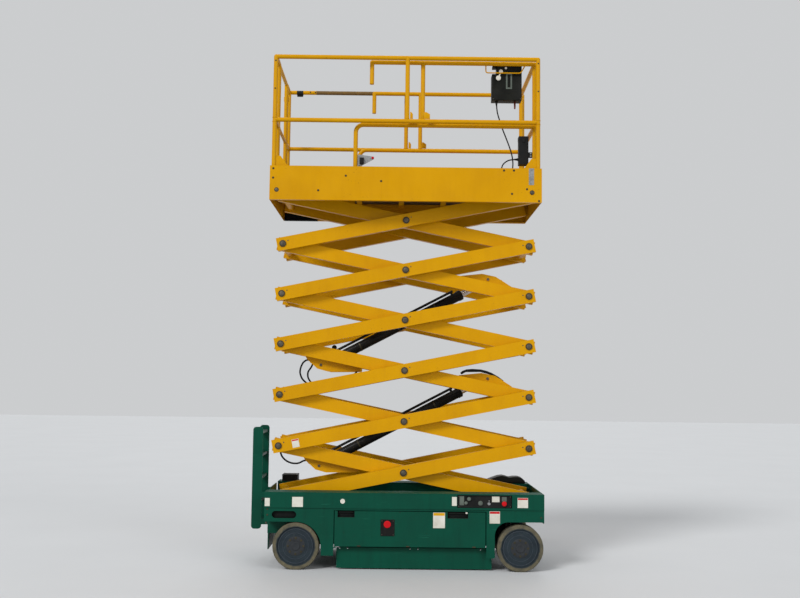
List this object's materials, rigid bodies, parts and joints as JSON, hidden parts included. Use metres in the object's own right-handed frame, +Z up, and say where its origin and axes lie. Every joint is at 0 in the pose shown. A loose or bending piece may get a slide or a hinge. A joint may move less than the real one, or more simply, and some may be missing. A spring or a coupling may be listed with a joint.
{
  "type": "electric scissor lift",
  "caption": "Electric slab scissor lift, half raised: green chassis on solid tyres, six-level crossed-arm stack, railed work platform with sliding extension deck",
  "frame": {"origin": "on the floor, under the middle of the bounding box", "axes": "+X to the front of the machine, +Y to its left side, +Z up"},
  "size_m": [2.622, 1.2, 4.622],
  "materials": {
    "bare_steel": "satin",
    "battery_case": "matte",
    "black_plastic": "matte",
    "dark_steel": "satin",
    "green_paint": "gloss",
    "grey_tyre": "matte",
    "red_plastic": "gloss",
    "rod_chrome": "polished",
    "yellow_paint": "gloss"
  },
  "bodies": {
    "chassis": {"battery_packs": "battery_case", "charger_box": "black_plastic", "chassis_frame": "green_paint", "front_axle": "dark_steel", "front_end": "green_paint", "ground_controls": "black_plastic", "guard_hangers": "dark_steel", "ladder": "green_paint", "rear_axle": "dark_steel", "rear_end": "green_paint", "side_skirt_left": "green_paint", "side_skirt_right": "green_paint", "stack_mounts": "green_paint", "valve_cover": "black_plastic"},
    "inner_pair_1": {"inner_arms_1": "yellow_paint", "hoses_base": "dark_steel"},
    "outer_pair_1": {"outer_arms_1": "yellow_paint"},
    "inner_pair_2": {"inner_arms_2": "yellow_paint"},
    "outer_pair_2": {"outer_arms_2": "yellow_paint"},
    "inner_pair_3": {"inner_arms_3": "yellow_paint", "hoses_middle": "dark_steel"},
    "outer_pair_3": {"outer_arms_3": "yellow_paint"},
    "inner_pair_4": {"inner_arms_4": "yellow_paint"},
    "outer_pair_4": {"outer_arms_4": "yellow_paint"},
    "inner_pair_5": {"inner_arms_5": "yellow_paint"},
    "outer_pair_5": {"outer_arms_5": "yellow_paint"},
    "inner_pair_6": {"inner_arms_6": "yellow_paint"},
    "outer_pair_6": {"outer_arms_6": "yellow_paint"},
    "lower_barrel": {"lower_cylinder_barrel": "dark_steel"},
    "lower_rod": {"lower_cylinder_rod": "rod_chrome"},
    "upper_barrel": {"upper_cylinder_barrel": "dark_steel"},
    "upper_rod": {"upper_cylinder_rod": "rod_chrome"},
    "platform": {"platform_frame": "yellow_paint", "platform_deck": "bare_steel", "guardrail_right": "yellow_paint", "guardrail_left": "yellow_paint"},
    "gate": {"entry_gate": "yellow_paint"},
    "extension": {"extension_deck": "yellow_paint", "extension_rails": "yellow_paint", "control_box": "black_plastic", "control_cable": "black_plastic", "latch_levers": "bare_steel", "document_box": "black_plastic"},
    "side_door_right": {"door_right": "green_paint", "stop_switch": "red_plastic"},
    "side_door_left": {"door_left": "green_paint"},
    "guard_right": {"pothole_guard_right": "green_paint"},
    "guard_left": {"pothole_guard_left": "green_paint"},
    "steer_right": {"knuckle_right": "dark_steel"},
    "steer_left": {"knuckle_left": "dark_steel"},
    "rear_wheel_right": {"wheel_rear_right": "grey_tyre"},
    "rear_wheel_left": {"wheel_rear_left": "grey_tyre"},
    "front_wheel_right": {"wheel_front_right": "grey_tyre"},
    "front_wheel_left": {"wheel_front_left": "grey_tyre"}
  },
  "joints": [
    {"name": "stack_lift", "type": "hinge", "parent": "chassis", "child": "inner_pair_1", "pos_m": [1.203, 0, 0.598], "axis": [0, 1, 0], "range_deg": [-8.2, 29.5]},
    {"name": "centre_pin_1", "type": "hinge", "parent": "inner_pair_1", "child": "outer_pair_1", "pos_m": [0.07119, 0, 0.82827], "axis": [0, -1, 0], "range_deg": [-16.4, 59]},
    {"name": "front_pin_2", "type": "hinge", "parent": "outer_pair_1", "child": "inner_pair_2", "pos_m": [1.203, 0, 1.05854], "axis": [0, 1, 0], "range_deg": [-16.4, 59]},
    {"name": "centre_pin_2", "type": "hinge", "parent": "inner_pair_2", "child": "outer_pair_2", "pos_m": [0.07119, 0, 1.28881], "axis": [0, -1, 0], "range_deg": [-16.4, 59]},
    {"name": "front_pin_3", "type": "hinge", "parent": "outer_pair_2", "child": "inner_pair_3", "pos_m": [1.203, 0, 1.51908], "axis": [0, 1, 0], "range_deg": [-16.4, 59]},
    {"name": "centre_pin_3", "type": "hinge", "parent": "inner_pair_3", "child": "outer_pair_3", "pos_m": [0.07119, 0, 1.74935], "axis": [0, -1, 0], "range_deg": [-16.4, 59]},
    {"name": "front_pin_4", "type": "hinge", "parent": "outer_pair_3", "child": "inner_pair_4", "pos_m": [1.203, 0, 1.97962], "axis": [0, 1, 0], "range_deg": [-16.4, 59]},
    {"name": "centre_pin_4", "type": "hinge", "parent": "inner_pair_4", "child": "outer_pair_4", "pos_m": [0.07119, 0, 2.20989], "axis": [0, -1, 0], "range_deg": [-16.4, 59]},
    {"name": "front_pin_5", "type": "hinge", "parent": "outer_pair_4", "child": "inner_pair_5", "pos_m": [1.203, 0, 2.44016], "axis": [0, 1, 0], "range_deg": [-16.4, 59]},
    {"name": "centre_pin_5", "type": "hinge", "parent": "inner_pair_5", "child": "outer_pair_5", "pos_m": [0.07119, 0, 2.67043], "axis": [0, -1, 0], "range_deg": [-16.4, 59]},
    {"name": "front_pin_6", "type": "hinge", "parent": "outer_pair_5", "child": "inner_pair_6", "pos_m": [1.203, 0, 2.9007], "axis": [0, 1, 0], "range_deg": [-16.4, 59]},
    {"name": "centre_pin_6", "type": "hinge", "parent": "inner_pair_6", "child": "outer_pair_6", "pos_m": [0.07119, 0, 3.13097], "axis": [0, -1, 0], "range_deg": [-16.4, 59]},
    {"name": "platform_pin", "type": "hinge", "parent": "outer_pair_6", "child": "platform", "pos_m": [1.203, 0, 3.36124], "axis": [0, 1, 0], "range_deg": [-8.2, 29.5]},
    {"name": "lower_cylinder_tail", "type": "hinge", "parent": "inner_pair_1", "child": "lower_barrel", "pos_m": [-0.70039, 0, 0.87299], "axis": [0, -1, 0], "range_deg": [-17.71, 63.72]},
    {"name": "lower_cylinder_stroke", "type": "slide", "parent": "lower_barrel", "child": "lower_rod", "axis": [0.8845, 0, 0.4666], "range_m": [-0.2009, 0.72275]},
    {"name": "upper_cylinder_tail", "type": "hinge", "parent": "inner_pair_3", "child": "upper_barrel", "pos_m": [-0.70039, 0, 1.79408], "axis": [0, -1, 0], "range_deg": [-17.71, 63.72]},
    {"name": "upper_cylinder_stroke", "type": "slide", "parent": "upper_barrel", "child": "upper_rod", "axis": [0.8845, 0, 0.4666], "range_m": [-0.2009, 0.72275]},
    {"name": "extension_slide", "type": "slide", "parent": "platform", "child": "extension", "axis": [1, 0, 0], "range_m": [0, 0.914]},
    {"name": "gate_hinge", "type": "hinge", "parent": "platform", "child": "gate", "pos_m": [-1.1377, 0.328, 4], "axis": [0, 0, 1], "range_deg": [0, 90]},
    {"name": "door_hinge_right", "type": "hinge", "parent": "chassis", "child": "side_door_right", "pos_m": [-0.524, -0.586, 0.3675], "axis": [0, 0, -1], "range_deg": [0, 95]},
    {"name": "door_hinge_left", "type": "hinge", "parent": "chassis", "child": "side_door_left", "pos_m": [-0.524, 0.586, 0.3675], "axis": [0, 0, 1], "range_deg": [0, 95]},
    {"name": "guard_fold_right", "type": "hinge", "parent": "chassis", "child": "guard_right", "pos_m": [0.171, -0.536, 0.189], "axis": [1, 0, 0], "range_deg": [0, 88]},
    {"name": "guard_fold_left", "type": "hinge", "parent": "chassis", "child": "guard_left", "pos_m": [0.171, 0.536, 0.189], "axis": [-1, 0, 0], "range_deg": [0, 88]},
    {"name": "steer_hinge_right", "type": "hinge", "parent": "chassis", "child": "steer_right", "pos_m": [1.1, -0.47, 0.203], "axis": [0, 0, 1], "range_deg": [-60, 60]},
    {"name": "steer_hinge_left", "type": "hinge", "parent": "chassis", "child": "steer_left", "pos_m": [1.1, 0.47, 0.203], "axis": [0, 0, 1], "range_deg": [-60, 60]},
    {"name": "rear_wheel_spin_right", "type": "hinge", "parent": "chassis", "child": "rear_wheel_right", "pos_m": [-0.867, -0.5365, 0.203], "axis": [0, 1, 0], "continuous": true},
    {"name": "front_wheel_spin_right", "type": "hinge", "parent": "steer_right", "child": "front_wheel_right", "pos_m": [1.1, -0.5365, 0.203], "axis": [0, 1, 0], "continuous": true},
    {"name": "rear_wheel_spin_left", "type": "hinge", "parent": "chassis", "child": "rear_wheel_left", "pos_m": [-0.867, 0.5365, 0.203], "axis": [0, 1, 0], "continuous": true},
    {"name": "front_wheel_spin_left", "type": "hinge", "parent": "steer_left", "child": "front_wheel_left", "pos_m": [1.1, 0.5365, 0.203], "axis": [0, 1, 0], "continuous": true}
  ],
  "couplings": [
    {"joint": "centre_pin_1", "follows": "stack_lift", "ratio": 2},
    {"joint": "front_pin_2", "follows": "stack_lift", "ratio": 2},
    {"joint": "centre_pin_2", "follows": "stack_lift", "ratio": 2},
    {"joint": "front_pin_3", "follows": "stack_lift", "ratio": 2},
    {"joint": "centre_pin_3", "follows": "stack_lift", "ratio": 2},
    {"joint": "front_pin_4", "follows": "stack_lift", "ratio": 2},
    {"joint": "centre_pin_4", "follows": "stack_lift", "ratio": 2},
    {"joint": "front_pin_5", "follows": "stack_lift", "ratio": 2},
    {"joint": "centre_pin_5", "follows": "stack_lift", "ratio": 2},
    {"joint": "front_pin_6", "follows": "stack_lift", "ratio": 2},
    {"joint": "centre_pin_6", "follows": "stack_lift", "ratio": 2},
    {"joint": "platform_pin", "follows": "stack_lift", "ratio": 1},
    {"joint": "lower_cylinder_tail", "follows": "stack_lift", "ratio": 2.16},
    {"joint": "lower_cylinder_stroke", "follows": "stack_lift", "m_per_rad": 1.4038},
    {"joint": "upper_cylinder_tail", "follows": "stack_lift", "ratio": 2.16},
    {"joint": "upper_cylinder_stroke", "follows": "stack_lift", "m_per_rad": 1.4038},
    {"joint": "steer_hinge_left", "follows": "steer_hinge_right", "ratio": 1}
  ]
}
